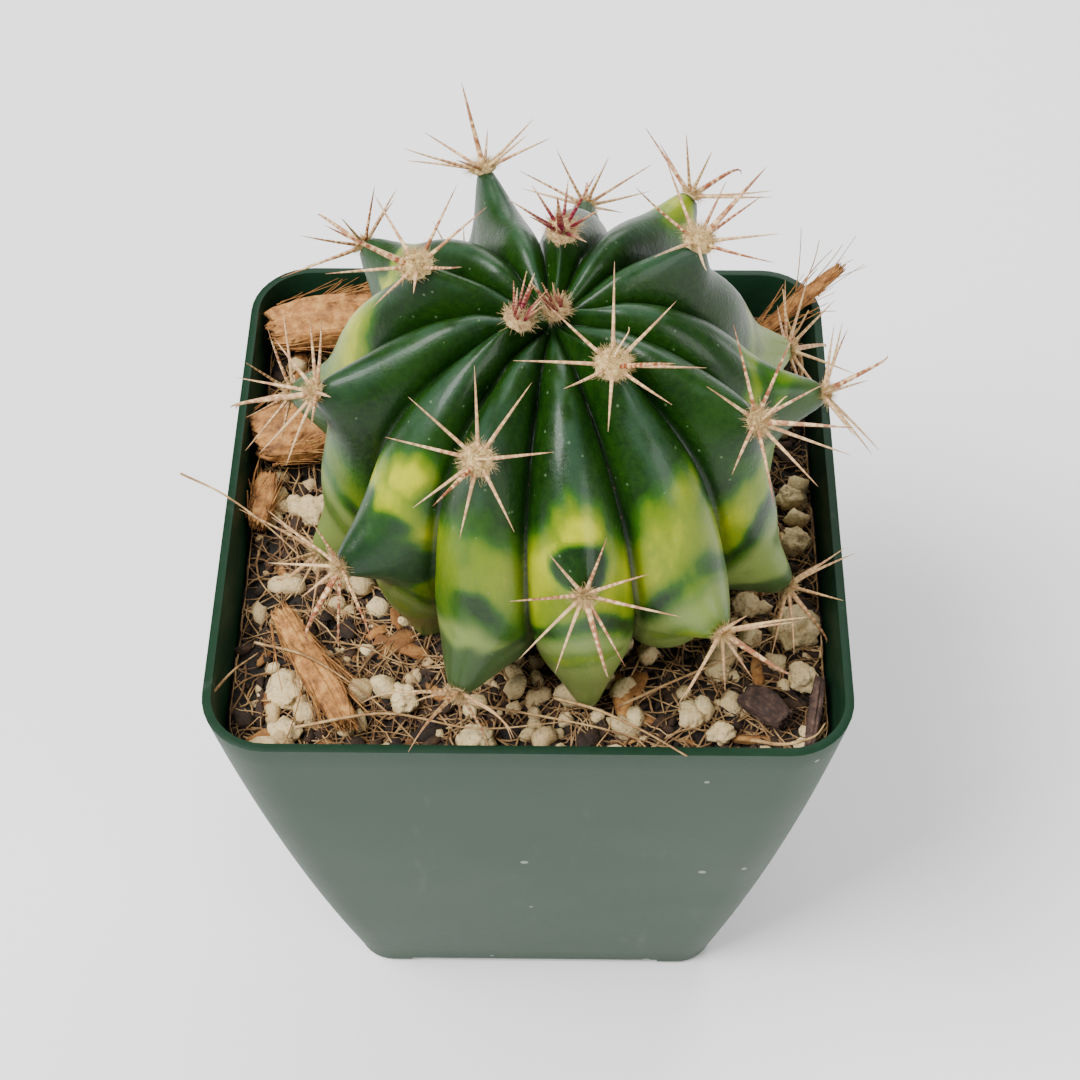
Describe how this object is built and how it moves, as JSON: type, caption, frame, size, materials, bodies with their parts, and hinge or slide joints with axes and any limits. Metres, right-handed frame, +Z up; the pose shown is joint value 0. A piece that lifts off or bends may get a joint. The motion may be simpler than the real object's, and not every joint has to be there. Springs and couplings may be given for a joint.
{
  "type": "potted round cactus",
  "caption": "Round ribbed cactus with variegated skin and spiny areoles, growing in a square tapered nursery pot of gritty potting mix.",
  "frame": {"origin": "centre of the underside of the pot's floor; the four corner feet reach 1.3 mm lower", "axes": "+Z up along the pot, -Y towards the pot side that the stem leans to, +X to that side's right as seen from in front of it"},
  "size_m": [0.0708, 0.0695, 0.1127],
  "materials": {
    "pot_plastic": "satin, dusty green",
    "potting_mix": "rough, fibrous",
    "stem_skin": "waxy, variegated dark green and yellow",
    "areole_wool_and_spines": "felted wool and smooth horn-like spines",
    "pumice": "rough, porous",
    "coir_husk": "rough, fibrous",
    "bark": "rough"
  },
  "bodies": {
    "root": {"pot": "pot_plastic", "potting_mix": "potting_mix", "cactus_stem": "stem_skin", "areole_00": "areole_wool_and_spines", "areole_01": "areole_wool_and_spines", "areole_02": "areole_wool_and_spines", "areole_03": "areole_wool_and_spines", "areole_04": "areole_wool_and_spines", "areole_05": "areole_wool_and_spines", "areole_06": "areole_wool_and_spines", "areole_07": "areole_wool_and_spines", "areole_08": "areole_wool_and_spines", "areole_09": "areole_wool_and_spines", "areole_10": "areole_wool_and_spines", "areole_11": "areole_wool_and_spines", "areole_12": "areole_wool_and_spines", "areole_13": "areole_wool_and_spines", "areole_14": "areole_wool_and_spines", "areole_15": "areole_wool_and_spines", "areole_16": "areole_wool_and_spines", "areole_17": "areole_wool_and_spines", "areole_18": "areole_wool_and_spines", "areole_19": "areole_wool_and_spines", "areole_20": "areole_wool_and_spines", "areole_21": "areole_wool_and_spines", "areole_22": "areole_wool_and_spines", "areole_23": "areole_wool_and_spines", "pumice_grain_01": "pumice", "pumice_grain_02": "pumice", "pumice_grain_03": "pumice", "pumice_grain_04": "pumice", "pumice_grain_05": "pumice", "pumice_grain_06": "pumice", "pumice_grain_07": "pumice", "pumice_grain_08": "pumice", "pumice_grain_09": "pumice", "pumice_grain_10": "pumice", "pumice_grain_11": "pumice", "pumice_grain_12": "pumice", "pumice_grain_13": "pumice", "pumice_grain_14": "pumice", "husk_chip_back_left": "coir_husk", "husk_chip_left": "coir_husk", "husk_chip_left_small": "coir_husk", "husk_strip_front_left": "coir_husk", "husk_strand_back_right": "coir_husk", "bark_piece": "bark", "twig": "bark"}
  },
  "joints": []
}
